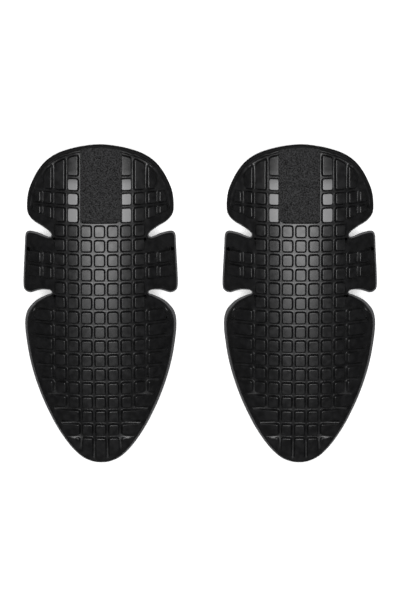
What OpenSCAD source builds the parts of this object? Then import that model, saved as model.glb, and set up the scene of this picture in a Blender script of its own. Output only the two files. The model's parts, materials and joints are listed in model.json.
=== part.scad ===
// A pair of knee guards: two flexible moulded foam shells that lie side by side,
// dome up, on their own rims. Each shell is one moulding that bends at four thin
// flex lines, so it is drawn as five zones: the waist over the kneecap, the thigh
// lobe, the shin lobe and a wing on each side. A woven loop tape is sewn onto a
// smooth bed on the thigh lobe.
// Millimetres. +Z up, +Y towards the thigh end, the pair side by side along X.
// The origin is on the table, in the middle of the pair.

/* [Shell] */
// Width of one guard across its wings
guard_w = 151; // [125:1:185]
// Length of the thigh lobe, from its flex line to its top edge
thigh_len = 88.8; // [72:0.1:110]
// Length of the shin lobe, from its flex line to its tip
shin_len = 173.2; // [140:0.1:210]
// Distance between the middles of the two guards
guard_spacing = 194.6; // [190:0.1:260]
// Radius of the dome's outside across the leg
cross_r = 92; // [84:1:112]
// Radius of the dome's outside along the leg
length_r = 550; // [420:10:800]
// Where the dome's crown lies along Y
crown_y = 26; // [10:1:40]
// Thickness of the shell at the crown, raised tiles included
shell_t = 12; // [9:0.5:16]
// Radius of the inside across the leg, larger than the outside so the rim is thin
inner_cross_r = 98; // [96:1:118]
// Depth of the flats that the foam rests on
foot_cut = 0.8; // [0.4:0.1:1]

/* [Raised tiles] */
// Width of one column of tiles, with its groove
col_pitch = 13; // [11:0.5:16]
// Length of one row of tiles on the waist, with its groove
row_pitch = 14.1; // [12:0.1:17]
// Length of the longer first row beside the tape, with its groove
tape_row_pitch = 16.6; // [12:0.1:19]
// Length of one row of tiles on the shin lobe, with its groove
shin_row_pitch = 14.4; // [12:0.1:17]
// Width of the grooves
groove_w = 3.6; // [2:0.1:5]
// Depth of the grooves
groove_d = 3.5; // [2:0.1:4.5]
// Width of the raised band along the thigh lobe's top edge
rim_w = 4; // [2:0.5:6]
// Width of the low border round the tiles on the thigh lobe and the wings
border_w = 6.5; // [4:0.5:10]
// Width of the thin flange round the shin lobe
flange_w = 3; // [2:0.5:5]
// Distance from the shin lobe's edge to where its grooves run out
fade_w = 12; // [8:1:16]

/* [Flex lines] */
// Clear gap between two zones at the foam skin that joins them
flex_gap = 0.4; // [0.2:0.1:1]
// How far a lobe opens towards flat, in degrees
lobe_open = 15; // [10:1:20]
// How far the thigh lobe curls in, in degrees
thigh_curl = 12; // [4:1:16]
// How far the long shin lobe curls in, in degrees
shin_curl = 4; // [2:1:16]
// How far a wing opens, in degrees
wing_open = 22; // [10:1:28]
// How far a wing curls in, in degrees
wing_curl = 8; // [4:1:14]

/* [Loop tape] */
// Width of the tape
tape_w = 40; // [25:1:50]
// Thickness of the tape
tape_t = 1.4; // [0.8:0.1:2]
// How far the tape is sewn off the middle, towards the other guard
tape_shift = 1.7; // [-3:0.1:3]
// Distance from the thigh flex line to the tape's lower end
tape_start = 16.6; // [15:0.1:30]
// Distance from the tape's upper end to the shell's top edge
tape_inset = 1.2; // [0.8:0.1:4]
// Distance from the tape's edge to its line of stitches
stitch_inset = 2; // [1.5:0.1:4]
// Length of one stitch and the gap after it
stitch_pitch = 3.3; // [2.5:0.1:5]
// Thickness of the thread
thread_d = 0.5; // [0.3:0.1:0.8]

/* [Hidden] */
$fn = 96;

foam_colour = [0.10, 0.10, 0.11];
tape_colour = [0.16, 0.16, 0.17];
thread_colour = [0.05, 0.05, 0.06];

core_rows = 4;                          // rows of tiles between the two flex lines
shin_rows = 10;                         // rows of tiles on the shin lobe below its first
half_w = guard_w / 2;
core_len = core_rows * row_pitch;
guard_len = thigh_len + core_len + shin_len;
thigh_flex_y = guard_len / 2 - thigh_len;
shin_flex_y = thigh_flex_y - core_len;
wing_flex_x = 3.5 * col_pitch;          // the wings bend in the fourth groove
tube_r = length_r - cross_r;            // from the lengthwise axis to the outside's own centre
inner_drop = inner_cross_r - cross_r + shell_t;  // how far the inside's centre lies below that
lip = 0.5;                              // degrees of room left in each flex line at its limits
sweep = 50;                             // degrees of the dome that is drawn
far = 200;                              // reach of a cutting solid beyond the guard
curve_steps = 6;                        // points along each stretch of an outline curve

// Half outlines, as shares of the half width and of the lobe's own length, from the
// flex line outwards. The notches between lobe and wing start at the flex lines.
THIGH_HALF = [
    [0.612, 0.000], [0.650, 0.044], [0.745, 0.092], [0.862, 0.142], [0.936, 0.215],
    [0.947, 0.325], [0.928, 0.450], [0.878, 0.564], [0.806, 0.682], [0.702, 0.796],
    [0.560, 0.885], [0.390, 0.944], [0.200, 0.983]
];
SHIN_HALF = [
    [0.612, 0.000], [0.662, 0.009], [0.740, 0.027], [0.825, 0.052], [0.893, 0.084],
    [0.948, 0.121], [0.978, 0.170], [0.979, 0.232], [0.958, 0.310], [0.927, 0.390],
    [0.882, 0.470], [0.825, 0.548], [0.757, 0.626], [0.680, 0.700], [0.594, 0.774],
    [0.496, 0.844], [0.380, 0.912], [0.250, 0.966], [0.120, 0.993]
];
// Wing outline: corners as the share of the half width, the distance above the shin
// flex line as a share of the waist's length, and the corner's own radius.
WING = [
    [0.52, 0.055, 0], [0.75, 0.055, 8], [0.903, -0.045, 6], [0.990, -0.070, 4],
    [1.000, 0.170, 30], [0.978, 0.860, 10], [0.970, 1.045, 5], [0.880, 1.040, 8],
    [0.680, 0.975, 2], [0.52, 0.975, 0]
];

// ---- curves -------------------------------------------------------------------------

// A point on the smooth curve through b and c, with a and d as the next points out.
function spline_point(a, b, c, d, t) = 0.5 * (2 * b + (c - a) * t
    + (2 * a - 5 * b + 4 * c - d) * t * t + (3 * b - a - 3 * c + d) * t * t * t);

// A smooth curve through all the points of p.
function smooth_path(p) = [
    for (i = [0:len(p) - 2], k = [0:curve_steps - 1])
        spline_point(p[max(i - 1, 0)], p[i], p[i + 1], p[min(i + 2, len(p) - 1)], k / curve_steps),
    p[len(p) - 1]
];

// A closed lobe outline from its half: up the +X side, over the end and down the -X side.
function lobe_outline(half, len_y) = let (
    right = [for (q = half) [q[0] * half_w, q[1] * len_y]],
    left = [for (i = [len(right) - 1:-1:0]) [-right[i][0], right[i][1]]]
) smooth_path(concat(right, [[0, len_y]], left));

function unit(v) = v / norm(v);

// Corner number i of a polygon with radii, as a short arc.
function corner(p, i) = let (
    n = len(p),
    q = [p[i][0], p[i][1]],
    a = unit([p[(i + n - 1) % n][0], p[(i + n - 1) % n][1]] - q),
    b = unit([p[(i + 1) % n][0], p[(i + 1) % n][1]] - q),
    half_angle = acos(a * b) / 2,
    reach = p[i][2] / tan(half_angle),
    centre = q + unit(a + b) * p[i][2] / sin(half_angle),
    start = q + a * reach - centre,
    turn = (a[0] * b[1] - a[1] * b[0] > 0 ? -1 : 1) * (180 - 2 * half_angle)
) p[i][2] == 0 ? [q] : [
    for (k = [0:curve_steps]) let (s = turn * k / curve_steps)
        centre + [start[0] * cos(s) - start[1] * sin(s), start[0] * sin(s) + start[1] * cos(s)]
];

function wing_outline() = let (
    p = [for (q = WING) [q[0] * half_w, shin_flex_y + q[1] * core_len, q[2]]]
) [for (i = [0:len(p) - 1]) each corner(p, i)];

THIGH = [for (q = lobe_outline(THIGH_HALF, thigh_len)) [q[0], thigh_flex_y + q[1]]];
SHIN = [for (q = lobe_outline(SHIN_HALF, shin_len)) [q[0], shin_flex_y - q[1]]];

// The outline moved inwards by d, point by point along its own normal. The side of the
// outline is +1 where it runs anticlockwise and -1 where it runs clockwise.
function inset(p, d, side) = [
    for (i = [0:len(p) - 1]) let (t = unit(p[min(i + 1, len(p) - 1)] - p[max(i - 1, 0)]))
        p[i] + side * d * [-t[1], t[0]]
];

// ---- the dome -----------------------------------------------------------------------

// Height of the inside of the shell over a point, measured from the crown's top.
function inside_z(x, y) = let (
    r = tube_r - inner_drop + sqrt(inner_cross_r * inner_cross_r - x * x)
) sqrt(r * r - (y - crown_y) * (y - crown_y)) - length_r;

// The crown's height above the table: the lowest points of the rim, less the flats.
crown_z = -min([for (q = concat(THIGH, SHIN)) inside_z(q[0], q[1])]) - foot_cut;

// A solid with a domed top, swept round the lengthwise axis. The top's own circle has
// radius r and is centred drop below the outside's centre.
module dome(r, drop) {
    floor_r = tube_r + cross_r * 0.1 - drop;
    translate([0, crown_y, crown_z - length_r])
        rotate([0, -90, 0])
            rotate([0, 0, -sweep / 2])
                rotate_extrude(angle = sweep, $fn = 360)
                    intersection() {
                        translate([tube_r - drop, 0]) circle(r = r, $fn = 180);
                        translate([floor_r, -far]) square([2 * cross_r, 2 * far]);
                    }
}

// The band of the shell between two depths below its outside.
module outer_band(top, bottom) {
    difference() {
        dome(cross_r - top, 0);
        dome(cross_r - bottom, 0);
    }
}

// The whole shell over an outline, with its rim flats at the table.
module shell(outline) {
    difference() {
        intersection() {
            dome(cross_r, 0);
            linear_extrude(height = far) polygon(outline);
        }
        dome(inner_cross_r, inner_drop);
    }
}

// ---- tiles --------------------------------------------------------------------------

// One tile between the grooves at x0, x1, y0 and y1.
module tile(x0, x1, y0, y1) {
    g = groove_w / 2;
    translate([x0 + g, y0 + g]) square([x1 - x0 - groove_w, y1 - y0 - groove_w]);
}

// A row of square tiles, cols of them each side of the middle one.
module tile_row(cols, y0, y1) {
    for (i = [-cols:cols]) tile((i - 0.5) * col_pitch, (i + 0.5) * col_pitch, y0, y1);
}

// The same tile on both sides of the middle.
module tile_pair(x0, x1, y0, y1) {
    tile(x0, x1, y0, y1);
    mirror([1, 0]) tile(x0, x1, y0, y1);
}

// Cuts the grooves and the smooth borders: all of the outer band over the outline but
// the tiles, which are the children.
module cut_grooves(outline) {
    difference() {
        shell(outline);
        intersection() {
            outer_band(-1, groove_d);
            linear_extrude(height = far)
                difference() {
                    square([4 * far, 4 * far], center = true);
                    children();
                }
        }
    }
}

// ---- flex lines ---------------------------------------------------------------------

// Side view of what a flex line takes from the zone on its +X side. Above the axis it
// leans back by half the opening, below it by half the curl.
module flex_cut(open, curl) {
    up = 2 * shell_t;
    down = 2 * shell_t;
    g = flex_gap / 2;
    polygon([
        [-far, up], [g + up * tan(open / 2 + lip), up], [g, 0],
        [g + down * tan(curl / 2 + lip), -down], [-far, -down]
    ]);
}

// Height of a lobe's flex axis: in the middle of the foam under the grooves, half way
// between its height at the middle of the guard and at the ends of the flex line.
function lobe_axis_z(y) = crown_z + (inside_z(0, y) + inside_z(wing_flex_x, y) + shell_t - groove_d) / 2;

// Takes the flex line at y from a lobe that lies on side +1 or -1 of it.
module lobe_flex_cut(y, side, curl) {
    translate([0, y, lobe_axis_z(y)])
        rotate([90, 0, 90])
            mirror([side < 0 ? 1 : 0, 0, 0])
                linear_extrude(height = 2 * far, center = true) flex_cut(lobe_open, curl);
}

// A wing's flex axis, just inside the shell's inner skin.
wing_lean = asin(wing_flex_x / cross_r);
wing_axis_z = crown_z + inside_z(wing_flex_x, crown_y) + 1;

// Takes the wing's flex line from the zone on side +1 (the wing) or -1 (the waist).
module wing_flex_cut(side) {
    translate([wing_flex_x, 0, wing_axis_z])
        rotate([90, 0, 0])
            rotate([0, 0, -wing_lean])
                mirror([side < 0 ? 1 : 0, 0, 0])
                    linear_extrude(height = 2 * far, center = true) flex_cut(wing_open, wing_curl);
}

// ---- one guard, at the middle of the pair -------------------------------------------

module core_pad() {
    reach = wing_flex_x + shell_t;
    color(foam_colour)
        difference() {
            cut_grooves([
                [-reach, shin_flex_y - shell_t], [reach, shin_flex_y - shell_t],
                [reach, thigh_flex_y + shell_t], [-reach, thigh_flex_y + shell_t]
            ])
                for (k = [0:core_rows - 1])
                    tile_row(3, shin_flex_y + k * row_pitch, shin_flex_y + (k + 1) * row_pitch);
            lobe_flex_cut(thigh_flex_y, -1, thigh_curl);
            lobe_flex_cut(shin_flex_y, 1, shin_curl);
            wing_flex_cut(-1);
            mirror([1, 0, 0]) wing_flex_cut(-1);
        }
}

// One column of tiles beside the tape, between the grooves at x0 and x1: squares of them
// square, then one long tile that runs on to the top.
module thigh_column(x0, x1, squares) {
    first = thigh_flex_y + row_pitch;
    second = first + tape_row_pitch;
    if (squares > 0) tile_pair(x0, x1, first, second);
    for (k = [1:1:squares - 1]) tile_pair(x0, x1, second + (k - 1) * row_pitch, second + k * row_pitch);
    long_start = squares > 0 ? second + (squares - 1) * row_pitch : first;
    tile_pair(x0, x1, long_start, guard_len);
}

// The flat-topped bed under the tape, between the second grooves.
module tape_bed() {
    w = 3 * col_pitch - groove_w;
    start = thigh_flex_y + row_pitch + groove_w / 2;
    translate([-w / 2, start]) square([w, thigh_len]);
}

module thigh_lobe() {
    color(foam_colour)
        difference() {
            cut_grooves(THIGH) {
                tile_row(3, thigh_flex_y, thigh_flex_y + row_pitch);
                tape_bed();
                intersection() {
                    polygon(inset(THIGH, border_w, 1));
                    union() {
                        thigh_column(1.5 * col_pitch, 2.5 * col_pitch, 3);
                        thigh_column(2.5 * col_pitch, 3.5 * col_pitch, 2);
                        thigh_column(3.5 * col_pitch, 4.35 * col_pitch, 2);
                        thigh_column(4.35 * col_pitch, half_w, 0);
                    }
                }
                difference() {
                    translate([-far, guard_len / 2 - thigh_len / 2]) square([2 * far, far]);
                    polygon(inset(THIGH, rim_w, 1));
                }
            }
            lobe_flex_cut(thigh_flex_y, 1, thigh_curl);
            table();
        }
}

// The smooth edge of the shin lobe below y, at the height of the tiles.
module smooth_edge(y) {
    difference() {
        translate([-far, y - 2 * far]) square([2 * far, 2 * far]);
        polygon(inset(SHIN, fade_w, -1));
    }
}

module shin_lobe() {
    first = shin_flex_y - row_pitch;
    color(foam_colour)
        difference() {
            cut_grooves(SHIN) {
                tile_row(3, first, shin_flex_y);
                intersection() {
                    polygon(inset(SHIN, flange_w, -1));
                    union() {
                        for (k = [0:shin_rows - 1]) {
                            y0 = first - (k + 1) * shin_row_pitch;
                            tile_row(3, y0, y0 + shin_row_pitch);
                            tile_pair(3.5 * col_pitch, half_w, y0, y0 + shin_row_pitch);
                        }
                        smooth_edge(first - groove_w / 2);
                    }
                }
            }
            lobe_flex_cut(shin_flex_y, -1, shin_curl);
            table();
        }
}

// The wing on the +X side.
module wing() {
    color(foam_colour)
        difference() {
            cut_grooves(wing_outline())
                for (k = [1:core_rows - 2]) {
                    y0 = shin_flex_y + k * row_pitch;
                    tile(3.5 * col_pitch, 4.35 * col_pitch, y0, y0 + row_pitch);
                    tile(4.35 * col_pitch, half_w - border_w + groove_w, y0, y0 + row_pitch);
                }
            wing_flex_cut(1);
            table();
        }
}

// Everything below the table, which leaves the flats that the foam rests on.
module table() {
    translate([-far, -far, -2 * far]) cube([2 * far, 2 * far, 2 * far]);
}

// The tape lies on its bed, cut round along the shell's top edge.
module loop_tape() {
    color(tape_colour)
        intersection() {
            outer_band(-tape_t, 0);
            linear_extrude(height = far)
                intersection() {
                    translate([tape_shift - tape_w / 2, thigh_flex_y + tape_start]) square([tape_w, thigh_len]);
                    polygon(inset(THIGH, tape_inset, 1));
                }
        }
}

// Straight stitches along both edges of the tape, each sunk half way into it.
module tape_stitching() {
    top_r = cross_r + tape_t;
    first = thigh_flex_y + tape_start + stitch_inset;
    last = thigh_flex_y + thigh_len * 0.95;
    count = floor((last - first) / stitch_pitch);
    stitch_len = stitch_pitch * 0.7;
    color(thread_colour)
        for (side = [-1, 1], k = [0:count - 1]) {
            lean = asin((tape_shift + side * (tape_w / 2 - stitch_inset)) / top_r);
            pitch = asin((first + (k + 0.5) * stitch_pitch - crown_y) / length_r);
            translate([0, crown_y, crown_z - length_r])
                rotate([-pitch, 0, 0])
                    translate([0, 0, tube_r])
                        rotate([0, lean, 0])
                            translate([0, 0, top_r])
                                rotate([90, 0, 0])
                                    cylinder(h = stitch_len, d = thread_d, center = true, $fn = 16);
        }
}

// ---- the pair -----------------------------------------------------------------------

module at_left() {
    translate([-guard_spacing / 2, 0, 0]) children();
}

// The right guard is the left one's mirror image.
module at_right() {
    translate([guard_spacing / 2, 0, 0]) mirror([1, 0, 0]) children();
}

at_left() core_pad();  // left_core_pad
at_left() thigh_lobe();  // left_thigh_lobe
at_left() shin_lobe();  // left_shin_lobe
at_left() mirror([1, 0, 0]) wing();  // left_outer_wing
at_left() wing();  // left_inner_wing
at_left() loop_tape();  // left_loop_tape
at_left() tape_stitching();  // left_tape_stitching
at_right() core_pad();  // right_core_pad
at_right() thigh_lobe();  // right_thigh_lobe
at_right() shin_lobe();  // right_shin_lobe
at_right() mirror([1, 0, 0]) wing();  // right_outer_wing
at_right() wing();  // right_inner_wing
at_right() loop_tape();  // right_loop_tape
at_right() tape_stitching();  // right_tape_stitching
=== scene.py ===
"""A pair of moulded foam knee guards with sewn loop tapes, lying dome up side by side.

Each guard is drawn flat, as a plan with levels, cut into tiles, and then laid over its
dome. Plan lengths are in millimetres; everything else is in metres, in the CAD's frame.
"""

import json
import math
from types import SimpleNamespace

import bmesh
import bpy
from bpy.props import EnumProperty, FloatProperty, FloatVectorProperty, IntProperty, PointerProperty
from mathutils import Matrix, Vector, noise
from mathutils.kdtree import KDTree
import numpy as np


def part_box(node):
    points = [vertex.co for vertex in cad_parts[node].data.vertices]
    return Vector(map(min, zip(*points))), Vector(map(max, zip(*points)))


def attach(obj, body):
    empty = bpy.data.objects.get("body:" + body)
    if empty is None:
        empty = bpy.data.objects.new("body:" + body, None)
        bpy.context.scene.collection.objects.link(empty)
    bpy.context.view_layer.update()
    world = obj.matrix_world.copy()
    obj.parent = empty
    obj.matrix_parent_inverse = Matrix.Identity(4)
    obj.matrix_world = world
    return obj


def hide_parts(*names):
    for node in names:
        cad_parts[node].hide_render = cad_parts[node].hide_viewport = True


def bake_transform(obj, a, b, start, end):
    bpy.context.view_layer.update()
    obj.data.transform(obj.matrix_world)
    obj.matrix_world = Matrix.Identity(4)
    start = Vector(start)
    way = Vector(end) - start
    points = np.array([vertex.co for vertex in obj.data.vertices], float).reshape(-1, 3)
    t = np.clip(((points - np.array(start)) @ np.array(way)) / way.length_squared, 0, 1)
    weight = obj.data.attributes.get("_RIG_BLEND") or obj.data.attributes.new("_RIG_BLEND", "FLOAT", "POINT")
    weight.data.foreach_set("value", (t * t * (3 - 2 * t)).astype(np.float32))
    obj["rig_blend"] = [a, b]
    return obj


bl_info = {
    "name": "Knee Guards",
    "version": (1, 0, 0),
    "blender": (4, 5, 0),
    "location": "3D View > Sidebar > Knee Guards",
    "description": "Builds a pair of foam knee guards with loop tapes on a CAD frame",
    "category": "Object",
}

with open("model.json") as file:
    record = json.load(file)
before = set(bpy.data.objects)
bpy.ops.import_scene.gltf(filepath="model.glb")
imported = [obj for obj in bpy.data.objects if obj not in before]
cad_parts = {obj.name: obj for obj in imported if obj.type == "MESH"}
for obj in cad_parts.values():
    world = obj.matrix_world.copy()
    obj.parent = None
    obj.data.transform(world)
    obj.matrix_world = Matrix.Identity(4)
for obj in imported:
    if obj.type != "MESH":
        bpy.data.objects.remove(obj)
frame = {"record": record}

MM = 0.001

# Half outline of a guard. Each point is the share of the half width, then the share of
# the part's own length: of the thigh lobe above its flex line, of the waist above the
# shin flex line, and of the shin lobe below that line.
THIGH_EDGE = (
    (0.0, 1.0), (0.200, 0.983), (0.390, 0.944), (0.560, 0.885), (0.702, 0.796), (0.806, 0.682),
    (0.878, 0.564), (0.928, 0.450), (0.947, 0.325), (0.936, 0.215), (0.862, 0.142),
    (0.745, 0.092), (0.653, 0.044), (0.629, 0.022),
)
WING_EDGE = (
    (0.624, 1.004), (0.636, 0.977), (0.660, 0.970), (0.697, 0.982), (0.775, 1.016),
    (0.854, 1.032), (0.914, 1.032), (0.952, 1.004), (0.971, 0.943), (0.977, 0.780),
    (0.984, 0.603), (0.995, 0.337), (1.000, 0.163), (0.999, 0.062), (0.988, 0.0),
    (0.955, -0.032), (0.899, -0.037), (0.828, 0.007), (0.762, 0.039), (0.695, 0.051),
    (0.654, 0.051), (0.629, 0.035), (0.621, 0.005),
)
SHIN_EDGE = (
    (0.640, 0.006), (0.662, 0.009), (0.740, 0.027), (0.825, 0.052), (0.893, 0.084),
    (0.948, 0.121), (0.978, 0.170), (0.979, 0.232), (0.958, 0.310), (0.927, 0.390),
    (0.882, 0.470), (0.825, 0.548), (0.757, 0.626), (0.680, 0.700), (0.594, 0.774),
    (0.496, 0.844), (0.380, 0.912), (0.250, 0.966), (0.120, 0.993), (0.0, 1.0),
)

# Levels of the flat plan: the inside skin, the rim's flange and the groove floors.
INSIDE, FLANGE, FLOOR = -6.0, -4.0, 0.0

# Rings of the rim, from the outer edge in: level, raised or not, then the distance from
# the edge on the thigh lobe, on the waist's notches, on the wings and on the shin lobe.
RIM = (
    (-4.3, 0.0, (0.00, 0.00, 0.00, 0.00)),
    (-4.0, 0.0, (0.30, 0.25, 0.30, 0.40)),
    (-4.0, 0.0, (0.50, 0.90, 1.30, 2.10)),
    (-3.4, 0.0, (0.70, 1.10, 1.50, 2.40)),
    (-0.8, 0.0, (0.95, 1.40, 1.80, 2.80)),
    (-0.2, 0.5, (1.25, 1.60, 2.00, 3.10)),
    (0.0, 1.0, (1.70, 1.80, 2.30, 3.70)),
    (0.0, 1.0, (3.80, 2.00, 2.50, 4.20)),
    (0.0, 0.0, (4.30, 2.20, 2.80, 4.60)),
)

# A tile's side from its foot up: how far it steps in, and how far it rises.
TILE_STEPS = ((0.30, 0.15), (0.50, 1.30), (0.45, 1.40), (0.12, 0.35), (0.20, 0.20), (0.35, 0.10))

# Labels of faces in the flat plan.
PLAIN, DECK, TILE, TOP, BELOW = 0, 1, 2, 3, 4


def smoothstep(low, high, value):
    t = min(max((value - low) / (high - low), 0.0), 1.0)
    return t * t * (3 - 2 * t)


def mix(a, b, t):
    return a + (b - a) * t


# ---- sizes ---------------------------------------------------------------------------


def joint_place(name):
    """Where a joint of the frame lies, in millimetres."""
    for joint in frame["record"]["behaviour"]["joints"]:
        if joint["name"] == name:
            return Vector(joint["pos_m"]) / MM
    raise KeyError(f"the frame has no joint named {name}")


def guard_sizes(side):
    """One guard's own sizes in millimetres, read from the frame."""
    core_low, core_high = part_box(f"{side}_core_pad")
    middle = (core_low.x + core_high.x) / 2
    wing_low, wing_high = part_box(f"{side}_inner_wing")
    return SimpleNamespace(
        side=side,
        x=middle / MM,
        crown_z=core_high.z / MM,
        half_w=max(abs(wing_low.x - middle), abs(wing_high.x - middle)) / MM,
        top_y=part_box(f"{side}_thigh_lobe")[1].y / MM,
        tip_y=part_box(f"{side}_shin_lobe")[0].y / MM,
        thigh_y=joint_place(f"{side}_thigh_flex").y,
        shin_y=joint_place(f"{side}_shin_flex").y,
        wing_x=abs(joint_place(f"{side}_wing_in_flex").x - middle / MM),
    )


class Dome:
    """The curved surfaces of a guard, in millimetres, over its plan."""

    def __init__(self, shape, sizes):
        self.r = shape.cross_radius / MM
        self.length_r = shape.length_radius / MM
        self.inner_r = shape.inner_radius / MM
        self.crown_y = shape.crown_y / MM
        self.tube = self.length_r - self.r
        self.drop = self.inner_r - self.r + shape.thickness / MM
        self.crown_z = sizes.crown_z
        self.groove = shape.groove_depth / MM
        self.flange = shape.flange_thickness / MM

    def _height(self, x, y, radius, drop):
        across = self.tube - drop + math.sqrt(radius * radius - x * x)
        along = y - self.crown_y
        return self.crown_z - self.length_r + math.sqrt(across * across - along * along)

    def outside(self, x, y, out=0.0):
        return self._height(x, y, self.r + out, 0.0)

    def inside(self, x, y):
        return self._height(x, y, self.inner_r, self.drop)

    def normal(self, x, y):
        c = math.sqrt(self.r * self.r - x * x)
        across = self.tube + c
        along = y - self.crown_y
        up = math.sqrt(across * across - along * along)
        return Vector((x, c * along / across, c * up / across)) / self.r

    def lay(self, x, y, depth, square):
        """The point at a depth below the outside: straight down at the rim, where
        square is 0, and along the surface's normal further in, where it is 1."""
        n = self.normal(x, y)
        p = Vector((x, y, self.outside(x, y)))
        p -= n * depth * square
        p.z -= depth / n.z * (1 - square)
        return p

    def depth(self, level, ground, thick):
        """Depth of a plan level where the ground is raised by a share of the groove's
        depth and the foam is so thick."""
        floor = self.groove * (1 - ground)
        flange = max(thick - self.flange, floor)
        if level >= FLOOR:
            return floor * (1 - level / self.groove)
        if level >= FLANGE:
            return mix(flange, floor, (level - FLANGE) / (FLOOR - FLANGE))
        return mix(thick, flange, (level - INSIDE) / (FLANGE - INSIDE))


# ---- the flat plan -------------------------------------------------------------------


def closed_curve(points, spacing):
    """A smooth closed curve through all the points."""
    curve = []
    count = len(points)
    for i in range(count):
        a, b, c, d = points[i - 1], points[i], points[(i + 1) % count], points[(i + 2) % count]
        steps = max(1, round((c - b).length / spacing))
        for k in range(steps):
            t = k / steps
            curve.append(0.5 * (
                2 * b + (c - a) * t + (2 * a - 5 * b + 4 * c - d) * t * t
                + (3 * b - a - 3 * c + d) * t ** 3
            ))
    return curve


def guard_outline(sizes, spacing):
    """The outline, clockwise from the top, with the inward direction at each point."""
    waist = sizes.thigh_y - sizes.shin_y
    half = [Vector((x * sizes.half_w, mix(sizes.thigh_y, sizes.top_y, t))) for x, t in THIGH_EDGE]
    half += [Vector((x * sizes.half_w, sizes.shin_y + t * waist)) for x, t in WING_EDGE]
    half += [Vector((x * sizes.half_w, mix(sizes.shin_y, sizes.tip_y, t))) for x, t in SHIN_EDGE]
    other = [Vector((-p.x, p.y)) for p in reversed(half[1:-1])]
    curve = closed_curve(half + other, spacing)
    count = len(curve)
    inward = []
    for i in range(count):
        t = (curve[(i + 1) % count] - curve[i - 1]).normalized()
        inward.append(Vector((t.y, -t.x)))
    return curve, inward


class Plan:
    """The plan's own measures: how far a point is from the outline and what lies there."""

    def __init__(self, shape, sizes):
        self.sizes = sizes
        self.pitch = shape.column_pitch / MM
        self.outline, self.inward = guard_outline(sizes, shape.outline_step / MM)
        dense = closed_curve(self.outline, 0.5)
        self.tree = KDTree(len(dense))
        for i, p in enumerate(dense):
            self.tree.insert((p.x, p.y, 0), i)
        self.tree.balance()
        self.first_shin_y = sizes.shin_y - shape.row_pitch / MM
        self.tape_row_y = sizes.thigh_y + shape.row_pitch / MM
        self.shelf = shape.shelf_rise / MM

    def edge_distance(self, x, y):
        return self.tree.find((x, y, 0))[2]

    def shelf_y(self, x):
        """The thigh lobe's outer tiles stop at a sloping line above the notch."""
        return self.tape_row_y + 1.5 + (abs(x) - self.sizes.wing_x) * self.shelf

    def ring_shares(self, x, y):
        """How much of a point is thigh lobe, notch, wing and shin lobe."""
        thigh = smoothstep(self.sizes.thigh_y + 5, self.sizes.thigh_y + 22, y)
        shin = smoothstep(self.sizes.shin_y - 3, self.sizes.shin_y - 20, y)
        wing = (1 - thigh - shin) * smoothstep(self.sizes.wing_x + 4, self.sizes.wing_x + 12, abs(x))
        return thigh, 1 - thigh - shin - wing, wing, shin

    def ground(self, x, y, rim):
        """How far the ground round the tiles is raised, as a share of the groove depth."""
        shelf = self.shelf_y(x) if abs(x) > self.sizes.wing_x else self.tape_row_y + 1.5
        band = max(smoothstep(shelf, shelf + 4, y), smoothstep(self.first_shin_y, self.first_shin_y - 4, y))
        gap = self.edge_distance(x, y)
        shin = smoothstep(18, 7, gap) * smoothstep(self.first_shin_y, self.first_shin_y - 6, y)
        side = smoothstep(38, 54, abs(x)) * smoothstep(shelf + 1, shelf + 7, y)
        thigh = 0.75 * smoothstep(12, 6, gap) * side
        return mix(max(shin, thigh), band, rim)


def cut_plan(bm, faces, axis, at):
    """Cuts the faces along a line of the plan."""
    geometry = set(faces)
    for face in faces:
        geometry.update(face.edges)
        geometry.update(face.verts)
    place, normal = Vector((0, 0, 0)), Vector((0, 0, 0))
    place["xy".index(axis)] = at
    normal["xy".index(axis)] = 1
    bmesh.ops.bisect_plane(bm, geom=list(geometry), dist=1e-4, plane_co=place, plane_no=normal)


def labelled(bm, label, *names):
    return [f for f in bm.faces if f[label] in names]


def rim_and_deck(bm, plan):
    """The guard's body with its stepped rim, closed over the top by one flat deck."""
    index = bm.verts.layers.int["outline"]
    rim = bm.verts.layers.float["rim"]
    label = bm.faces.layers.int["label"]
    ring = [bm.verts.new((p.x, p.y, INSIDE)) for p in plan.outline]
    for i, vert in enumerate(ring):
        vert[index] = i
    below = bm.faces.new(ring)
    edges = list(below.edges)
    for level, raised, distances in RIM:
        made = bmesh.ops.extrude_edge_only(bm, edges=edges)["geom"]
        ring = {g for g in made if isinstance(g, bmesh.types.BMVert)}
        edges = list({e for v in ring for e in v.link_edges if e.other_vert(v) in ring})
        for vert in ring:
            p, inward = plan.outline[vert[index]], plan.inward[vert[index]]
            shares = plan.ring_shares(p.x, p.y)
            q = p + inward * sum(d * s for d, s in zip(distances, shares))
            vert.co = (q.x, q.y, level)
            vert[rim] = raised
    for face in bmesh.ops.edgeloop_fill(bm, edges=edges)["faces"]:
        face[label] = DECK
    below[label] = BELOW
    bmesh.ops.recalc_face_normals(bm, faces=bm.faces)


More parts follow.
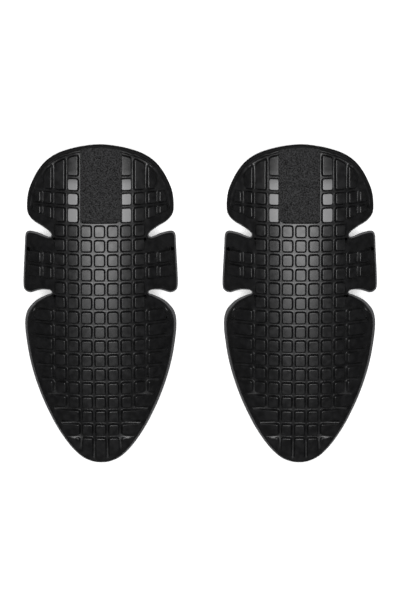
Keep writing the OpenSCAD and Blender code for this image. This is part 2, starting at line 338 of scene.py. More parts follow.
def cut_cells(bm, plan, shape):
    """Cuts the deck along the middles of the grooves into one cell for each tile."""
    label = bm.faces.layers.int["label"]
    s = plan.sizes
    row = shape.row_pitch / MM
    shin_row = shape.shin_row_pitch / MM
    tape_row = shape.tape_row_pitch / MM
    columns = [(k + 0.5) * plan.pitch for k in range(4)]
    outer = 4.35 * plan.pitch
    rows = [s.shin_y + k * row for k in range(1, 4)]
    shin_rows = [plan.first_shin_y - k * shin_row for k in range(1, 10)]
    fifth = plan.tape_row_y + tape_row

    def deck(low_y, high_y, low_x=-1.0, high_x=1e3):
        chosen = []
        for face in labelled(bm, label, DECK):
            c = face.calc_center_median_weighted()
            if low_y < c.y < high_y and low_x < abs(c.x) < high_x:
                chosen.append(face)
        return chosen

    everywhere = (-1e3, 1e3)
    for y in (plan.tape_row_y, s.thigh_y, s.shin_y, plan.first_shin_y, *shin_rows[5:7], shin_rows[8]):
        cut_plan(bm, deck(*everywhere), "y", y)
    for sign in (-1, 1):
        for x in (*columns[1:], outer):
            cut_plan(bm, deck(plan.tape_row_y, 1e3), "x", sign * x)
        for x in columns:
            cut_plan(bm, deck(shin_rows[5], plan.tape_row_y), "x", sign * x)
        for x in columns[:3]:
            cut_plan(bm, deck(shin_rows[6], shin_rows[5]), "x", sign * x)
        for x in columns[:2]:
            cut_plan(bm, deck(-1e3, shin_rows[6]), "x", sign * x)
    for k in range(3):
        cut_plan(bm, deck(plan.tape_row_y, 1e3, columns[1], columns[2]), "y", fifth + k * row)
    for k in range(2):
        cut_plan(bm, deck(plan.tape_row_y, 1e3, columns[2]), "y", fifth + k * row)
    for y in rows:
        cut_plan(bm, deck(s.shin_y, s.thigh_y), "y", y)
    for sign in (-1, 1):
        cut_plan(bm, [f for f in deck(rows[0], rows[2], s.wing_x) if f.calc_center_median().x * sign > 0],
                 "x", sign * outer)
    for y in shin_rows[:5]:
        cut_plan(bm, deck(shin_rows[5], plan.first_shin_y), "y", y)
    cut_plan(bm, deck(shin_rows[8], shin_rows[6]), "y", shin_rows[7])
    # The sloping lower edge of the thigh lobe's outer tiles.
    for sign in (-1, 1):
        faces = [f for f in deck(plan.tape_row_y, 1e3, s.wing_x) if f.calc_center_median().x * sign > 0]
        geometry = set(faces)
        for face in faces:
            geometry.update(face.edges)
            geometry.update(face.verts)
        bmesh.ops.bisect_plane(
            bm, geom=list(geometry), dist=1e-4,
            plane_co=(sign * s.wing_x, plan.shelf_y(s.wing_x), 0),
            plane_no=Vector((-sign * plan.shelf, 1, 0)).normalized(),
        )
    close = {v for f in labelled(bm, label, DECK) for v in f.verts}
    bmesh.ops.remove_doubles(bm, verts=list(close), dist=0.3)
    # A cell holds a tile unless it is too small for one or lies by a notch.
    for face in deck(*everywhere):
        c = face.calc_center_median_weighted()
        width = 2 * face.calc_area() / face.calc_perimeter()
        inner = abs(c.x) < s.wing_x
        if plan.first_shin_y < c.y < plan.tape_row_y:
            holds = inner or rows[0] < c.y < rows[2]
        elif c.y > plan.tape_row_y:
            holds = inner or c.y > plan.shelf_y(c.x)
        else:
            holds = True
        if holds and width > shape.smallest_tile / MM:
            face[label] = TILE


def step_in(bm, tiles, step, rise):
    """Insets each tile's top face and raises it. No corner moves in much further than the
    sides do, however sharp it is."""
    sides = bmesh.ops.inset_individual(bm, faces=tiles, thickness=step, depth=rise, use_even_offset=True)["faces"]
    for face in tiles:
        own = set(face.verts)
        for vert in own:
            outer = [e.other_vert(vert) for e in vert.link_edges if e.other_vert(vert) not in own]
            if outer:
                move = vert.co - outer[0].co
                if move.xy.length > 1.6 * step:
                    vert.co.xy = outer[0].co.xy + move.xy.normalized() * 1.6 * step
    return sides


def clear_corners(bm, tiles, reach):
    """Takes out the points close to the tiles' corners, so that the corners have room."""
    spare = set()
    for face in tiles:
        corners = [loop.vert.co for loop in face.loops if loop.calc_angle() < math.radians(150)]
        for loop in face.loops:
            close = any(0 < (loop.vert.co - c).length < reach for c in corners)
            if close and loop.calc_angle() > math.radians(150):
                spare.update(e for e in loop.vert.link_edges if e not in face.edges)
    bmesh.ops.dissolve_edges(bm, edges=list(spare), use_verts=True)


def round_corners(bm, face, radius):
    """Turns each corner of a flat face into a curve of five points."""
    corners = [loop.vert for loop in face.loops if loop.calc_angle() < math.radians(150)]
    for corner in corners:
        place = corner.co.copy()
        ends = []
        for edge in [e for e in corner.link_edges if e in face.edges]:
            reach = min(radius, 0.4 * edge.calc_length())
            _, far = bmesh.utils.edge_split(edge, corner, reach / edge.calc_length())
            near_edge = next(e for e in corner.link_edges if e.other_vert(corner) == far)
            _, near = bmesh.utils.edge_split(near_edge, corner, 0.5)
            ends.append((far.co.copy(), near))
        (a, near_a), (b, near_b) = ends
        for vert, t in ((near_a, 0.25), (corner, 0.5), (near_b, 0.75)):
            vert.co = a * (1 - t) ** 2 + place * 2 * t * (1 - t) + b * t * t


def raise_tiles(bm, shape):
    """Raises a tile with rounded corners and edges in each tile cell."""
    label = bm.faces.layers.int["label"]
    tiles = labelled(bm, label, TILE)
    foot = shape.groove_width / 2 / MM - sum(step for step, _ in TILE_STEPS[:3])
    for side in step_in(bm, tiles, foot, 0.0):
        side[label] = DECK
    clear_corners(bm, tiles, 2 * shape.corner_radius / MM)
    tiles = labelled(bm, label, TILE)
    for face in tiles:
        round_corners(bm, face, shape.corner_radius / MM)
    scale = (shape.groove_depth / MM) / sum(rise for _, rise in TILE_STEPS)
    for step, rise in TILE_STEPS:
        for side in step_in(bm, tiles, step, rise * scale):
            side[label] = PLAIN
    for face in tiles:
        face[label] = TOP


def cut_for_curvature(bm, plan, shape):
    """Cuts long faces so that they can follow the dome and the bends."""
    label = bm.faces.layers.int["label"]
    s = plan.sizes
    row = shape.row_pitch / MM
    shin_row = shape.shin_row_pitch / MM
    half = plan.pitch / 2
    for k in range(-5, 6):
        cut_plan(bm, list(bm.faces), "x", k * plan.pitch * (1 if abs(k) < 4 else 0.97))
    y = s.shin_y + row / 2
    lines = [y + k * row for k in range(-1, 5)]
    lines += [plan.tape_row_y + shape.tape_row_pitch / MM * 0.5]
    lines += [plan.tape_row_y + shape.tape_row_pitch / MM + (k + 0.5) * row for k in range(4)]
    lines += [plan.first_shin_y - (k + 0.5) * shin_row for k in range(11)]
    for y in lines:
        if s.tip_y < y < s.top_y:
            cut_plan(bm, list(bm.faces), "y", y)
    for k in range(-11, 12):
        cut_plan(bm, labelled(bm, label, TOP, BELOW), "x", k * half)
    y = s.tip_y + half
    while y < s.top_y:
        cut_plan(bm, labelled(bm, label, BELOW), "y", y)
        y += half


def islands(bm):
    """The separate closed bodies in the mesh, as lists of faces."""
    left = set(bm.faces)
    found = []
    while left:
        stack = [left.pop()]
        body = []
        while stack:
            face = stack.pop()
            body.append(face)
            for edge in face.edges:
                for other in edge.link_faces:
                    if other in left:
                        left.remove(other)
                        stack.append(other)
        found.append(body)
    return found


def part_at(bm, spot, axis, at, within):
    """Cuts the body at a spot of the plan in two along a line, and closes both sides."""
    k = "xy".index(axis)
    cut_plan(bm, [f for f in body_at(bm, *spot) if within(f.calc_center_median())], axis, at)
    on = {v for f in body_at(bm, *spot) for v in f.verts if abs(v.co[k] - at) < 1e-3 and within(v.co)}
    seam = [e for e in {e for v in on for e in v.link_edges} if all(w in on for w in e.verts)]
    bmesh.ops.split_edges(bm, edges=seam)
    caps = bmesh.ops.edgeloop_fill(bm, edges=[e for e in bm.edges if e.is_boundary])["faces"]
    for cap in caps:
        cap[bm.faces.layers.int["label"]] = PLAIN
        for edge in cap.edges:
            edge.smooth = False


def body_at(bm, x, y):
    """The body whose faces come nearest to a point of the plan."""
    best = None
    for body in islands(bm):
        gap = min((f.calc_center_median().xy - Vector((x, y))).length for f in body)
        if best is None or gap < best[0]:
            best = (gap, body)
    return best[1]


def lay_on_dome(bm, plan, dome):
    """Moves every point of the flat plan to its place on the dome, and marks where a painted
    reflection lightens the flange and a painted highlight lightens the tile tops beside the tape."""
    rim = bm.verts.layers.float["rim"]
    painted_flange_reflection = bm.verts.layers.float["painted_flange_reflection"]
    painted_highlight = bm.verts.layers.float["painted_highlight"]
    tape_edge, outer = 1.5 * plan.pitch, 2.5 * plan.pitch
    for vert in bm.verts:
        x, y, level = vert.co
        gap = plan.edge_distance(x, y)
        # Painted reflection: flange points away from the thigh lobe get a lighter base colour in place of light
        # reflected at the rim.
        if abs(level - FLANGE) < 0.01:
            vert[painted_flange_reflection] = 1 - plan.ring_shares(x, y)[0]
        # Painted highlight: the tile tops in the columns beside the tape, over its lower rows, get a lighter base
        # colour in place of the light's highlight.
        if level > FLOOR + 3 and tape_edge < abs(x) < outer:
            vert[painted_highlight] = (smoothstep(plan.tape_row_y - 1, plan.tape_row_y + 1, y)
                            * smoothstep(plan.tape_row_y + 52, plan.tape_row_y + 34, y))
        n = dome.normal(x, y)
        thick = (dome.outside(x, y) - dome.inside(x, y)) * n.z
        if level <= INSIDE + 1e-6:
            p = Vector((x, y, dome.inside(x, y)))
        else:
            ground = plan.ground(x, y, vert[rim])
            p = dome.lay(x, y, dome.depth(level, ground, thick), smoothstep(3, 8, gap))
        p.z = max(p.z, 0.0)
        vert.co = (p + Vector((plan.sizes.x, 0, 0))) * MM


def flat_guard(plan, shape):
    """The whole guard as a flat plan, in five closed bodies that meet at the flex lines."""
    bm = bmesh.new()
    bm.verts.layers.int.new("outline")
    # Marks on the points: the raised rim, the painted reflection on the flange and the painted highlight beside the
    # tape.
    for name in ("rim", "painted_flange_reflection", "painted_highlight"):
        bm.verts.layers.float.new(name)
    bm.faces.layers.int.new("label")
    rim_and_deck(bm, plan)
    cut_cells(bm, plan, shape)
    raise_tiles(bm, shape)
    cut_for_curvature(bm, plan, shape)
    s = plan.sizes
    spot = (0, (s.thigh_y + s.shin_y) / 2)
    for y in (s.thigh_y, s.shin_y):
        part_at(bm, spot, "y", y, lambda c: abs(c.x) < s.wing_x + 4)
    for x in (-s.wing_x, s.wing_x):
        part_at(bm, spot, "x", x, lambda c: True)
    return bm


# ---- materials -----------------------------------------------------------------------


def node_group(name, inputs, outputs):
    """An empty shader node group with named sockets: (name, kind, default)."""
    group = bpy.data.node_groups.new(name, "ShaderNodeTree")
    for label, kind, default in inputs:
        socket = group.interface.new_socket(label, in_out="INPUT", socket_type=kind)
        if default is not None:
            socket.default_value = default
    for label, kind in outputs:
        group.interface.new_socket(label, in_out="OUTPUT", socket_type=kind)
    return group, group.nodes.new("NodeGroupInput"), group.nodes.new("NodeGroupOutput")


def add_node(tree, kind, settings=None, **links):
    """Adds a node. Links are values, or sockets, for its inputs by name."""
    node = tree.nodes.new(kind)
    for key, value in (settings or {}).items():
        setattr(node, key, value)
    for key, value in links.items():
        name = key.replace("_", " ")
        socket = node.inputs[int(name[1:])] if name[0] == "i" and name[1:].isdigit() else node.inputs[name]
        if isinstance(value, bpy.types.NodeSocket):
            tree.links.new(value, socket)
        else:
            socket.default_value = value
    return node


def grain_group():
    """Height and tone of a fine moulded or woven grain, from two sizes of noise."""
    group, source, result = node_group(
        "Fine Grain",
        [("Place", "NodeSocketVector", None), ("Fine Scale", "NodeSocketFloat", 2500.0),
         ("Broad Scale", "NodeSocketFloat", 180.0), ("Broad Share", "NodeSocketFloat", 0.5)],
        [("Height", "NodeSocketFloat"), ("Tone", "NodeSocketFloat")],
    )
    fine = add_node(group, "ShaderNodeTexNoise", Vector=source.outputs["Place"], Scale=source.outputs["Fine Scale"],
                    Detail=3.0, Roughness=0.55)
    broad = add_node(group, "ShaderNodeTexNoise", Vector=source.outputs["Place"],
                     Scale=source.outputs["Broad Scale"], Detail=3.0, Roughness=0.5)
    height = add_node(group, "ShaderNodeMix", {"data_type": "FLOAT"}, Factor=source.outputs["Broad Share"],
                      i2=fine.outputs[0], i3=broad.outputs[0])
    tone = add_node(group, "ShaderNodeMapRange", {"interpolation_type": "SMOOTHSTEP"}, Value=broad.outputs[0],
                    From_Min=0.3, From_Max=0.7, To_Min=0.0, To_Max=1.0)
    group.links.new(height.outputs[0], result.inputs["Height"])
    group.links.new(tone.outputs[0], result.inputs["Tone"])
    return group


def mark(tree, name):
    """A mark's value, from the piece's own attribute."""
    return add_node(tree, "ShaderNodeAttribute", {"attribute_name": name}).outputs["Fac"]


def surface(name, look, group):
    """A dark material whose tone, gloss and fine relief vary with the grain."""
    material = bpy.data.materials.new(name)
    material.use_nodes = True
    tree = material.node_tree
    shader = tree.nodes["Principled BSDF"]
    place = add_node(tree, "ShaderNodeTexCoord")
    grain = tree.nodes.new("ShaderNodeGroup")
    grain.node_tree = group
    tree.links.new(place.outputs["Object"], grain.inputs["Place"])
    grain.inputs["Fine Scale"].default_value = look.fine_scale
    grain.inputs["Broad Scale"].default_value = look.broad_scale
    grain.inputs["Broad Share"].default_value = look.broad_share
    colour = add_node(tree, "ShaderNodeMix", {"data_type": "RGBA"}, i6=(*look.dark, 1), i7=(*look.light, 1),
                      i0=grain.outputs["Tone"])
    gloss = add_node(tree, "ShaderNodeMapRange", Value=grain.outputs["Tone"],
                     To_Min=look.roughness - look.roughness_spread, To_Max=look.roughness + look.roughness_spread)
    bump = add_node(tree, "ShaderNodeBump", Strength=look.relief, Distance=look.relief_height,
                    Height=grain.outputs["Height"])
    # Painted reflection: the flange's mark mixes a lighter base colour into the foam.
    edge = add_node(tree, "ShaderNodeMix", {"data_type": "RGBA"}, i6=colour.outputs[2], i7=(*look.painted_flange_reflection, 1),
                    i0=mark(tree, "painted_flange_reflection"))
    # Painted highlight: the mark beside the tape mixes a lighter base colour into the tile tops.
    painted_highlight = add_node(tree, "ShaderNodeMix", {"data_type": "RGBA"}, i6=edge.outputs[2], i7=(*look.painted_highlight, 1),
                    i0=mark(tree, "painted_highlight"))
    tree.links.new(painted_highlight.outputs[2], shader.inputs["Base Color"])
    tree.links.new(gloss.outputs[0], shader.inputs["Roughness"])
    tree.links.new(bump.outputs[0], shader.inputs["Normal"])
    shader.inputs["Specular IOR Level"].default_value = look.specular
    shader.inputs["Sheen Weight"].default_value = look.sheen
    shader.inputs["Sheen Roughness"].default_value = 0.4
    return material


def finish_object(name, bm, material):
    """Makes the object from its mesh, smooth, with its material and slot."""
    mesh = bpy.data.meshes.new(name)
    bmesh.ops.recalc_face_normals(bm, faces=bm.faces)
    for face in bm.faces:
        face.smooth = True
    bm.to_mesh(mesh)
    bm.free()
    mesh.materials.append(material)
    obj = bpy.data.objects.new(name, mesh)
    bpy.context.scene.collection.objects.link(obj)
    return obj


def cached(name, make):
    """The material or node group of this name, made on first use."""
    kept = bpy.data.materials.get(name) or bpy.data.node_groups.get(name)
    return kept or make()


# ---- settings ------------------------------------------------------------------------


def length(name, description, default):
    return FloatProperty(name=name, description=description, default=default, unit="LENGTH", precision=5)


class KneeGuardShape(bpy.types.PropertyGroup):
    """Sizes of the foam, the tape and the stitching."""

    cross_radius: length("Cross Radius", "Radius of the outside across the leg", 0.092)
    length_radius: length("Length Radius", "Radius of the outside along the leg", 0.55)
    inner_radius: length("Inner Radius", "Radius of the inside across the leg", 0.098)
    crown_y: length("Crown", "Where the crown lies along the leg", 0.026)
    thickness: length("Thickness", "Foam thickness at the crown, tiles included", 0.012)
    flange_thickness: length("Flange Thickness", "Thickness of the thin flange at the edge", 0.0017)
    groove_depth: length("Groove Depth", "Depth of the grooves between the tiles", 0.0035)
    groove_width: length("Groove Width", "Width of the grooves at the tiles' shoulders", 0.0036)
    column_pitch: length("Column Pitch", "Width of one column of tiles with its groove", 0.013)
    row_pitch: length("Row Pitch", "Length of one row of tiles on the waist", 0.0141)
    shin_row_pitch: length("Shin Row Pitch", "Length of one row of tiles on the shin lobe", 0.0144)
    tape_row_pitch: length("Tape Row Pitch", "Length of the first row beside the tape", 0.0166)
    shelf_rise: length("Shelf Rise", "Rise of the outer tiles' lower edge over a millimetre", 0.00032)
    smallest_tile: length("Smallest Tile", "Smallest mean half width of a cell that holds a tile", 0.0036)
    corner_radius: length("Corner Radius", "Reach of the rounding at a tile's foot corners", 0.0034)
    outline_step: length("Outline Step", "Length of one edge of the outline", 0.0021)
    bend_length: length("Bend Length", "Length over which a lobe bends beyond its flex line", 0.018)
    wing_bend_length: length("Wing Bend Length", "Length over which a wing bends", 0.012)
    tape_width: length("Tape Width", "Width of the loop tape", 0.04)
    tape_thickness: length("Tape Thickness", "Thickness of the loop tape", 0.0014)
    tape_shift: length("Tape Shift", "How far the tape is sewn towards the other guard", 0.0017)
    tape_start: length("Tape Start", "Distance from the thigh flex line to the tape", 0.0166)
    tape_inset: length("Tape Inset", "Distance from the tape to the top edge", 0.0012)
    stitch_inset: length("Stitch Inset", "Distance from the tape's edge to the stitches", 0.002)
    stitch_pitch: length("Stitch Pitch", "Length of a stitch and its gap", 0.0033)
    thread: length("Thread", "Thickness of the sewing thread", 0.0006)


class KneeGuardLook(bpy.types.PropertyGroup):
    """Colour, gloss and relief of one material."""

    dark: FloatVectorProperty(name="Dark", description="Darker tone", subtype="COLOR", default=(0.004, 0.004, 0.0042))
    light: FloatVectorProperty(name="Light", description="Lighter tone", subtype="COLOR", default=(0.007, 0.007, 0.0074))
    # The next two colours are painted light: a painted reflection on the flange and a painted highlight on the tiles
    # beside the tape.
    painted_flange_reflection: FloatVectorProperty(name="Painted Reflection", description="Painted reflection on the flange", subtype="COLOR", default=(0.09, 0.09, 0.092))
    painted_highlight: FloatVectorProperty(name="Painted Highlight", description="Painted highlight on the tiles beside the tape",
                              subtype="COLOR", default=(0.17, 0.17, 0.172))
    roughness: FloatProperty(name="Roughness", description="Mean roughness", default=0.36, subtype="FACTOR")
    roughness_spread: FloatProperty(name="Roughness Spread", description="Variation of the roughness", default=0.04)
    specular: FloatProperty(name="Specular", description="Strength of the reflection", default=0.5, subtype="FACTOR")
    sheen: FloatProperty(name="Sheen", description="Strength of the fibres' sheen", default=0.0, subtype="FACTOR")
    fine_scale: FloatProperty(name="Fine Scale", description="Scale of the fine grain", default=2600.0)
    broad_scale: FloatProperty(name="Broad Scale", description="Scale of the broad grain", default=160.0)
    broad_share: FloatProperty(name="Broad Share", description="Share of the broad grain in the relief", default=0.5)
    relief: FloatProperty(name="Relief", description="Strength of the relief", default=0.5, subtype="FACTOR")
    relief_height: length("Relief Height", "Height of the relief", 0.0001)


class KneeGuardStage(bpy.types.PropertyGroup):
    """The floor, the light and the camera."""

    lens: FloatProperty(name="Lens", description="Focal length of the camera in millimetres", default=260.0)
    tilt: FloatProperty(name="Tilt", description="Lean of the camera towards the thigh end", subtype="ANGLE",
                        default=math.radians(10.4))
    camera_distance: length("Camera Distance", "Distance from the camera to the pair", 4.2)
    aim: FloatVectorProperty(name="Aim", description="Point that the camera looks at", subtype="TRANSLATION",
                             default=(0.0003, 0.0107, 0.048))
    light_size: length("Light Size", "Width of the large soft light", 4.6)
    light_distance: length("Light Distance", "Distance from the pair to the light", 5.0)
    light_power: FloatProperty(name="Light Power", description="Power of the light in watts", default=420.0)
    floor_tone: FloatProperty(name="Floor Tone", description="Brightness of the floor", default=0.82, subtype="FACTOR")
    floor_glow: FloatProperty(name="Floor Glow", description="Brightness added to the floor in view", default=0.35)
    floor_in_gloss: FloatProperty(name="Floor in Gloss", description="Brightness of the floor in reflections",
                                  default=0.04, subtype="FACTOR")


class KneeGuardSettings(bpy.types.PropertyGroup):
    """All settings of the knee guards."""

    shape: PointerProperty(type=KneeGuardShape)
    foam: PointerProperty(type=KneeGuardLook)
    tape: PointerProperty(type=KneeGuardLook)
    thread: PointerProperty(type=KneeGuardLook)
    stage: PointerProperty(type=KneeGuardStage)


SIDES = (("left", "Left", "The guard on the -X side"), ("right", "Right", "The guard on the +X side"))


# ---- operators -----------------------------------------------------------------------


class KNEEGUARDS_OT_foam(bpy.types.Operator):
    """Builds one guard's foam: the waist, both lobes and both wings"""

    bl_idname = "kneeguards.foam"
    bl_label = "Foam"
    side: EnumProperty(name="Side", description="Which guard", items=SIDES)

    def execute(self, context):
        settings = context.scene.knee_guards
        shape = settings.shape
        sizes = guard_sizes(self.side)
        plan = Plan(shape, sizes)
        dome = Dome(shape, sizes)
        group = cached("Fine Grain", grain_group)
        material = cached("Foam", lambda: surface("Foam", settings.foam, group))
        whole = flat_guard(plan, shape)
        toward = 1 if self.side == "left" else -1
        reach = sizes.wing_x + 12
        middle = (sizes.thigh_y + sizes.shin_y) / 2
        spots = {
            "core_pad": (0, middle),
            "thigh_lobe": (0, sizes.top_y - 30),
            "shin_lobe": (0, sizes.tip_y + 60),
            "inner_wing": (toward * reach, middle),
            "outer_wing": (-toward * reach, middle),
        }
        for zone, (x, y) in spots.items():
            bm = whole.copy()
            keep = set(body_at(bm, x, y))
            bmesh.ops.delete(bm, geom=[f for f in bm.faces if f not in keep], context="FACES")
            lay_on_dome(bm, plan, dome)
            obj = finish_object(f"{self.side}_{zone}_foam", bm, material)
            obj.modifiers.new("Weighted Normal", "WEIGHTED_NORMAL").keep_sharp = True
            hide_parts(f"{self.side}_{zone}")
            self.hang(obj, zone, sizes, shape)
        whole.free()
        return {"FINISHED"}

    def hang(self, obj, zone, sizes, shape):
        """Ties a piece to the body or the bend that moves it."""
        core = f"{self.side}_core"
        if zone == "core_pad":
            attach(obj, core)
            return
        x, z = sizes.x * MM, 0.0
        if zone == "thigh_lobe":
            start = (x, sizes.thigh_y * MM, z)
            end = (x, sizes.thigh_y * MM + shape.bend_length, z)
            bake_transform(obj, core, f"{self.side}_thigh", start, end)
        elif zone == "shin_lobe":
            start = (x, sizes.shin_y * MM, z)
            end = (x, sizes.shin_y * MM - shape.bend_length, z)
            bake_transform(obj, core, f"{self.side}_shin", start, end)
        else:
            inner = zone == "inner_wing"
            sign = (1 if self.side == "left" else -1) * (1 if inner else -1)
            start = (x + sign * sizes.wing_x * MM, 0, z)
            end = (x + sign * (sizes.wing_x * MM + shape.wing_bend_length), 0, z)
            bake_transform(obj, core, f"{self.side}_wing_{'in' if inner else 'out'}", start, end)


def tape_top(plan, x, inset):
    """Where the tape ends below the outline's top edge at x."""
    top = [p for p in plan.outline if p.y > plan.tape_row_y]
    a = max((p for p in top if p.x <= x), key=lambda p: p.x)
    b = min((p for p in top if p.x > x), key=lambda p: p.x)
    slope = (b.y - a.y) / (b.x - a.x)
    return a.y + (x - a.x) * slope - inset * math.sqrt(1 + slope * slope)


class KNEEGUARDS_OT_tape(bpy.types.Operator):
    """Builds one guard's loop tape"""

    bl_idname = "kneeguards.tape"
    bl_label = "Loop Tape"
    side: EnumProperty(name="Side", description="Which guard", items=SIDES)

    def execute(self, context):
        settings = context.scene.knee_guards
        shape = settings.shape
        sizes = guard_sizes(self.side)
        plan, dome = Plan(shape, sizes), Dome(shape, sizes)
        group = cached("Fine Grain", grain_group)
        material = cached("Loop Tape", lambda: surface("Loop Tape", settings.tape, group))
        toward = 1 if self.side == "left" else -1
        width, thick = shape.tape_width / MM, shape.tape_thickness / MM
        low = sizes.thigh_y + shape.tape_start / MM
        across, along = 66, 112
        bm = bmesh.new()
        bmesh.ops.create_grid(bm, x_segments=across, y_segments=along, size=0.5)
        tops = {}
        for vert in bm.verts:
            u, v = vert.co.x + 0.5, vert.co.y + 0.5
            x = toward * shape.tape_shift / MM + (u - 0.5) * width
            key = round(x, 3)
            if key not in tops:
                tops[key] = tape_top(plan, x, shape.tape_inset / MM)
            vert.co = (x, mix(low, tops[key], v), self.height(u * width, (1 - u) * width, v * 70, (1 - v) * 70, thick))
        bottom = bmesh.ops.extrude_face_region(bm, geom=list(bm.faces))["geom"]
        for item in bottom:
            if isinstance(item, bmesh.types.BMVert):
                item.co.z = 0
        for vert in bm.verts:
            x, y, out = vert.co
            if out > 0:
                spot = Vector((x * 0.9, y * 0.9, sizes.x))
                out += 0.16 * noise.noise(spot * 1.1) + 0.10 * noise.noise(spot * 2.7)
            n = dome.normal(x, y)
            p = Vector((x, y, dome.outside(x, y))) + n * (out - 0.05)
            vert.co = (p + Vector((sizes.x, 0, 0))) * MM
        obj = finish_object(f"{self.side}_tape_pile", bm, material)
        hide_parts(f"{self.side}_loop_tape")
        hang_on_thigh(obj, self.side, sizes, shape)
        return {"FINISHED"}

    @staticmethod
    def height(left, right, low, high, thick):
        """The tape's thickness, which thins over its last millimetre and dips along the
        two seams."""
        edge = min(left, right, low, high)
        drop = 0.55 * (1 - smoothstep(0, 0.9, edge))
        seam = min(abs(left - 2), abs(right - 2))
        return thick - drop - 0.28 * (1 - smoothstep(0.2, 1.1, seam))


def hang_on_thigh(obj, side, sizes, shape):
    """Bends a piece of the thigh lobe just as the lobe itself bends."""
    start = (sizes.x * MM, sizes.thigh_y * MM, 0)
    end = (sizes.x * MM, sizes.thigh_y * MM + shape.bend_length, 0)
    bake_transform(obj, f"{side}_core", f"{side}_thigh", start, end)


class KNEEGUARDS_OT_stitching(bpy.types.Operator):
    """Builds the two rows of stitches along one guard's tape"""

    bl_idname = "kneeguards.stitching"
    bl_label = "Stitching"
    side: EnumProperty(name="Side", description="Which guard", items=SIDES)

    def execute(self, context):
        settings = context.scene.knee_guards
        shape = settings.shape
        sizes = guard_sizes(self.side)
        plan, dome = Plan(shape, sizes), Dome(shape, sizes)
        group = cached("Fine Grain", grain_group)
        material = cached("Thread", lambda: surface("Thread", settings.thread, group))
        toward = 1 if self.side == "left" else -1
        pitch = shape.stitch_pitch / MM
        radius = shape.thread / MM / 2
        half = pitch * 0.36
        bm = bmesh.new()
        for edge in (-1, 1):
            x = toward * shape.tape_shift / MM + edge * (shape.tape_width / MM / 2 - shape.stitch_inset / MM)
            low = sizes.thigh_y + shape.tape_start / MM + 2
            high = tape_top(plan, x, shape.tape_inset / MM) - 2
            count = int((high - low) / pitch)
            for k in range(count):
                middle = low + (k + 0.5) * (high - low) / count
                made = bmesh.ops.create_cone(bm, cap_ends=True, segments=8, radius1=radius, radius2=radius,
                                             depth=2 * half)["verts"]
                for at in (-0.75, -0.4, 0, 0.4, 0.75):
                    faces = list({f for v in made for f in v.link_faces})
                    geometry = set(faces) | {e for f in faces for e in f.edges} | set(made)
                    cut = bmesh.ops.bisect_plane(bm, geom=list(geometry), dist=1e-5, plane_co=(0, 0, at * half),
                                                 plane_no=(0, 0, 1))["geom_cut"]
                    made += [g for g in cut if isinstance(g, bmesh.types.BMVert)]
                for vert in set(made):
                    t = vert.co.z / half
                    y = middle + vert.co.z
                    out = shape.tape_thickness / MM + vert.co.y - 0.12 - 0.75 * max(0.0, abs(t) - 0.35) ** 1.6
                    n = dome.normal(x, y)
                    p = Vector((x + vert.co.x, y, dome.outside(x, y))) + n * out
                    vert.co = (p + Vector((sizes.x, 0, 0))) * MM
        obj = finish_object(f"{self.side}_tape_thread", bm, material)
        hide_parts(f"{self.side}_tape_stitching")
        hang_on_thigh(obj, self.side, sizes, shape)
        return {"FINISHED"}


class KNEEGUARDS_OT_stage(bpy.types.Operator):
    """Builds the floor, the backdrop, the light and the camera"""

    bl_idname = "kneeguards.stage"
    bl_label = "Stage"

    def execute(self, context):
        stage = context.scene.knee_guards.stage
        self.floor(context, stage)
        self.light(context, stage)
        self.backdrop(context, stage)
        camera = bpy.data.objects.new("Camera", bpy.data.cameras.new("Camera"))
        context.scene.collection.objects.link(camera)
        back = Vector((0, math.sin(stage.tilt), math.cos(stage.tilt)))
        camera.location = Vector(stage.aim) + back * stage.camera_distance
        camera.rotation_euler = (-stage.tilt, 0, 0)
        camera.data.lens = stage.lens
        camera.data.clip_end = 100
        context.scene.camera = camera
        context.scene.view_settings.view_transform = "Standard"
        return {"FINISHED"}

    def floor(self, context, stage):
        bm = bmesh.new()
        bmesh.ops.create_grid(bm, x_segments=1, y_segments=1, size=20)
        mesh = bpy.data.meshes.new("Floor")
        bm.to_mesh(mesh)
        bm.free()
        obj = bpy.data.objects.new("Floor", mesh)
        context.scene.collection.objects.link(obj)
        material = bpy.data.materials.new("Floor")
        material.use_nodes = True
        tree = material.node_tree
        tree.nodes.remove(tree.nodes["Principled BSDF"])
        tone = (stage.floor_tone,) * 3 + (1,)
        dim = (stage.floor_in_gloss,) * 3 + (1,)
        path = add_node(tree, "ShaderNodeLightPath")
        colour = add_node(tree, "ShaderNodeMix", {"data_type": "RGBA"}, i6=tone, i7=dim,
                          i0=path.outputs["Is Glossy Ray"])
        diffuse = add_node(tree, "ShaderNodeBsdfDiffuse", Color=colour.outputs[2])
        glow = add_node(tree, "ShaderNodeMath", {"operation": "MULTIPLY"}, i0=path.outputs["Is Camera Ray"],
                        i1=stage.floor_glow)
        emission = add_node(tree, "ShaderNodeEmission", Strength=glow.outputs[0])
        shader = add_node(tree, "ShaderNodeAddShader", i0=diffuse.outputs[0], i1=emission.outputs[0])
        tree.links.new(shader.outputs[0], tree.nodes["Material Output"].inputs["Surface"])
        mesh.materials.append(material)

    def light(self, context, stage):
        lamp = bpy.data.lights.new("Soft Light", "AREA")
        lamp.shape = "DISK"
        lamp.size = stage.light_size
        lamp.energy = stage.light_power
        obj = bpy.data.objects.new("Soft Light", lamp)
        context.scene.collection.objects.link(obj)
        back = Vector((0, math.sin(stage.tilt), math.cos(stage.tilt)))
        obj.location = Vector(stage.aim) + back * stage.light_distance
        obj.rotation_euler = (-stage.tilt, 0, 0)
        obj.visible_camera = False

    def backdrop(self, context, stage):
        world = bpy.data.worlds.new("Backdrop")
        context.scene.world = world
        world.use_nodes = True
        tree = world.node_tree
        shader = tree.nodes["Background"]
        path = add_node(tree, "ShaderNodeLightPath")
        colour = add_node(tree, "ShaderNodeMix", {"data_type": "RGBA"}, i6=(0.03, 0.03, 0.031, 1), i7=(1, 1, 1, 1),
                          i0=path.outputs["Is Camera Ray"])
        tree.links.new(colour.outputs[2], shader.inputs["Color"])


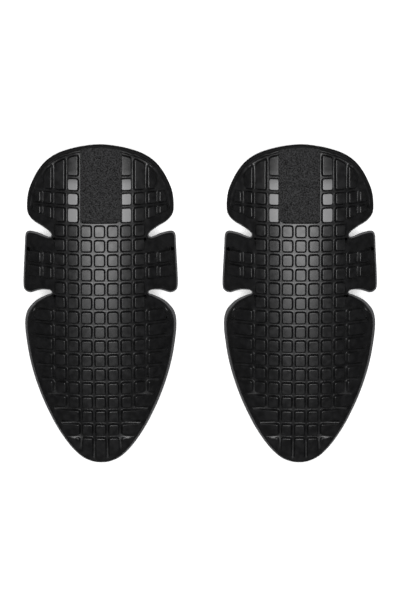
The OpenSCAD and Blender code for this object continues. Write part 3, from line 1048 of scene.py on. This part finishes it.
class KNEEGUARDS_PT_panel(bpy.types.Panel):
    """Sizes and buttons for the knee guards"""

    bl_label = "Knee Guards"
    bl_idname = "KNEEGUARDS_PT_panel"
    bl_space_type = "VIEW_3D"
    bl_region_type = "UI"
    bl_category = "Knee Guards"

    def draw(self, context):
        settings = context.scene.knee_guards
        for side, _, _ in SIDES:
            row = self.layout.row()
            for operator in (KNEEGUARDS_OT_foam, KNEEGUARDS_OT_tape, KNEEGUARDS_OT_stitching):
                row.operator(operator.bl_idname).side = side
        self.layout.operator(KNEEGUARDS_OT_stage.bl_idname)
        for group in (settings.shape, settings.foam, settings.tape, settings.thread, settings.stage):
            box = self.layout.box()
            for name in group.bl_rna.properties.keys():
                if name not in ("rna_type", "name"):
                    box.prop(group, name)


CLASSES = (
    KneeGuardShape, KneeGuardLook, KneeGuardStage, KneeGuardSettings,
    KNEEGUARDS_OT_foam, KNEEGUARDS_OT_tape, KNEEGUARDS_OT_stitching, KNEEGUARDS_OT_stage,
    KNEEGUARDS_PT_panel,
)


def register():
    for cls in CLASSES:
        bpy.utils.register_class(cls)
    bpy.types.Scene.knee_guards = PointerProperty(type=KneeGuardSettings)


def unregister():
    del bpy.types.Scene.knee_guards
    for cls in reversed(CLASSES):
        bpy.utils.unregister_class(cls)


def set_looks(settings):
    """The tape's and the thread's looks, where they differ from the foam's."""
    tape = settings.tape
    tape.dark, tape.light = (0.0005, 0.0005, 0.0005), (0.036, 0.036, 0.037)
    tape.roughness, tape.roughness_spread, tape.specular, tape.sheen = 0.8, 0.1, 0.12, 0.0
    tape.fine_scale, tape.broad_scale, tape.broad_share = 1300.0, 800.0, 0.5
    tape.relief, tape.relief_height = 1.0, 0.0012
    thread = settings.thread
    thread.dark, thread.light = (0.006, 0.006, 0.006), (0.012, 0.012, 0.012)
    thread.roughness, thread.specular, thread.sheen = 0.6, 0.4, 0.1


def main():
    register()
    set_looks(bpy.context.scene.knee_guards)
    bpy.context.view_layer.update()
    for side, _, _ in SIDES:
        bpy.ops.kneeguards.foam(side=side)
        bpy.ops.kneeguards.tape(side=side)
        bpy.ops.kneeguards.stitching(side=side)
    bpy.ops.kneeguards.stage()


if __name__ == "__main__":
    main()
